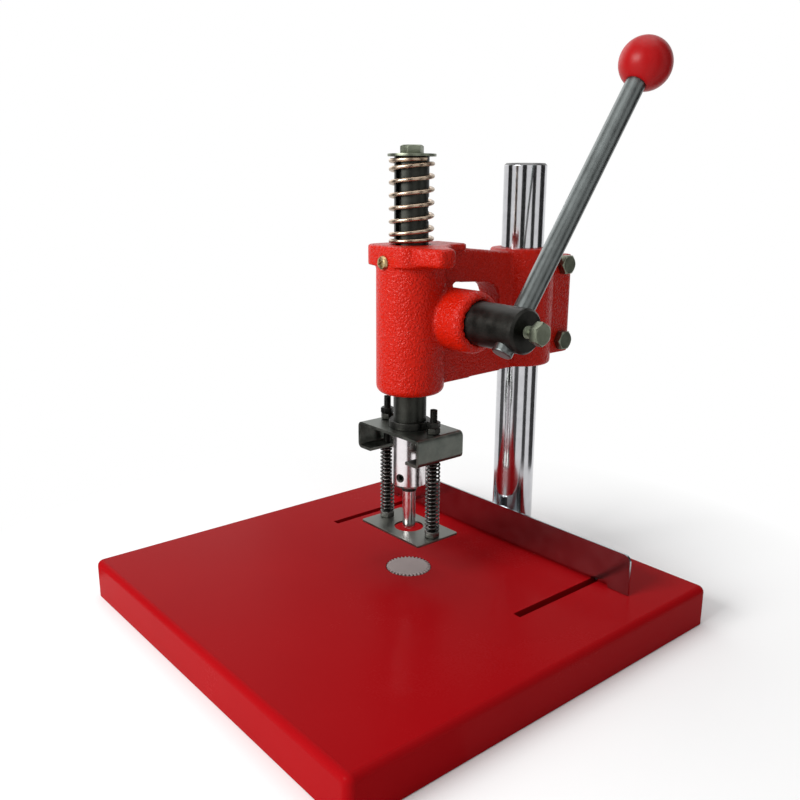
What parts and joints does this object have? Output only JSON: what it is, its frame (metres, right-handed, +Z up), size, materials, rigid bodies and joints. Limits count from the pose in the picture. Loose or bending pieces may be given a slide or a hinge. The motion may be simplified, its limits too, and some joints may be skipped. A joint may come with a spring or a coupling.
{
  "type": "paper drill",
  "caption": "Hand-lever paper drill: a ram with a hollow bit and sprung stripper plate, driven by rack and pinion in a head clamped on a column, over a table with a sliding fence.",
  "frame": {"origin": "on the floor under the middle of the whole machine's bounding box", "axes": "+Z up, +Y to the back, where the column stands, -Y to the operator, +X to the operator's right, where the lever is"},
  "size_m": [0.3, 0.3165, 0.3793],
  "materials": {
    "base_paint": "gloss",
    "casting_paint": "hammered gloss",
    "column_chrome": "polished",
    "lever_chrome": "polished",
    "zinc_steel": "zinc plated",
    "screw_brass": "satin",
    "return_spring_wire": "satin",
    "black_oxide": "satin",
    "dark_steel": "satin",
    "bare_steel": "brushed",
    "polished_steel": "polished",
    "zinc_plate": "satin",
    "nut_steel": "satin",
    "black_wire": "satin",
    "fence_steel": "polished",
    "knob_red": "gloss",
    "pad_nylon": "matte"
  },
  "bodies": {
    "base": {"base_pan": "base_paint", "column": "column_chrome", "column_washer": "zinc_steel", "column_bolt": "zinc_steel"},
    "head": {"head_casting": "casting_paint", "clamp_bolts": "zinc_steel", "clamp_nuts": "zinc_steel", "key_screw": "screw_brass", "return_spring": "return_spring_wire"},
    "lever": {"pinion_shaft": "black_oxide", "retaining_ring": "black_oxide", "lever_rod": "lever_chrome", "ball_knob": "knob_red", "lever_clamp_bolt": "zinc_steel"},
    "ram": {"ram": "dark_steel", "top_washer": "zinc_steel", "top_bolt": "zinc_steel", "locking_collar": "black_oxide", "bracket": "bare_steel", "chuck": "polished_steel", "chuck_set_screw": "black_oxide", "hollow_bit": "polished_steel"},
    "stripper": {"stripper_plate": "zinc_plate", "guide_rods": "black_oxide", "rod_top_nuts": "black_oxide", "rod_foot_nuts": "nut_steel", "left_stripper_spring": "black_wire", "right_stripper_spring": "black_wire"},
    "fence": {"fence": "fence_steel", "fence_bolts": "zinc_steel", "fence_nuts": "black_oxide"},
    "pad": {"cutting_pad": "pad_nylon"}
  },
  "joints": [
    {"name": "head_height", "type": "slide", "parent": "base", "child": "head", "axis": [0, 0, 1], "range_m": [0, 0.045]},
    {"name": "lever_pull", "type": "hinge", "parent": "head", "child": "lever", "pos_m": [0, 0.0264, 0.2025], "axis": [1, 0, 0], "range_deg": [0, 136]},
    {"name": "ram_feed", "type": "slide", "parent": "head", "child": "ram", "axis": [0, 0, -1], "range_m": [0, 0.0285], "stiffness_N_per_m": 800, "springref_m": -0.03, "deforming": ["return_spring"]},
    {"name": "stripper_lift", "type": "slide", "parent": "ram", "child": "stripper", "axis": [0, 0, 1], "range_m": [0, 0.007], "stiffness_N_per_m": 2500, "springref_m": -0.008, "deforming": ["left_stripper_spring", "right_stripper_spring"]},
    {"name": "fence_slide", "type": "slide", "parent": "base", "child": "fence", "axis": [0, 1, 0], "range_m": [-0.06, 0.003]},
    {"name": "pad_turn", "type": "hinge", "parent": "base", "child": "pad", "pos_m": [0, 0.0064, 0.02], "axis": [0, 0, 1], "continuous": true}
  ],
  "couplings": [
    {"joint": "ram_feed", "follows": "lever_pull", "m_per_rad": 0.012}
  ]
}
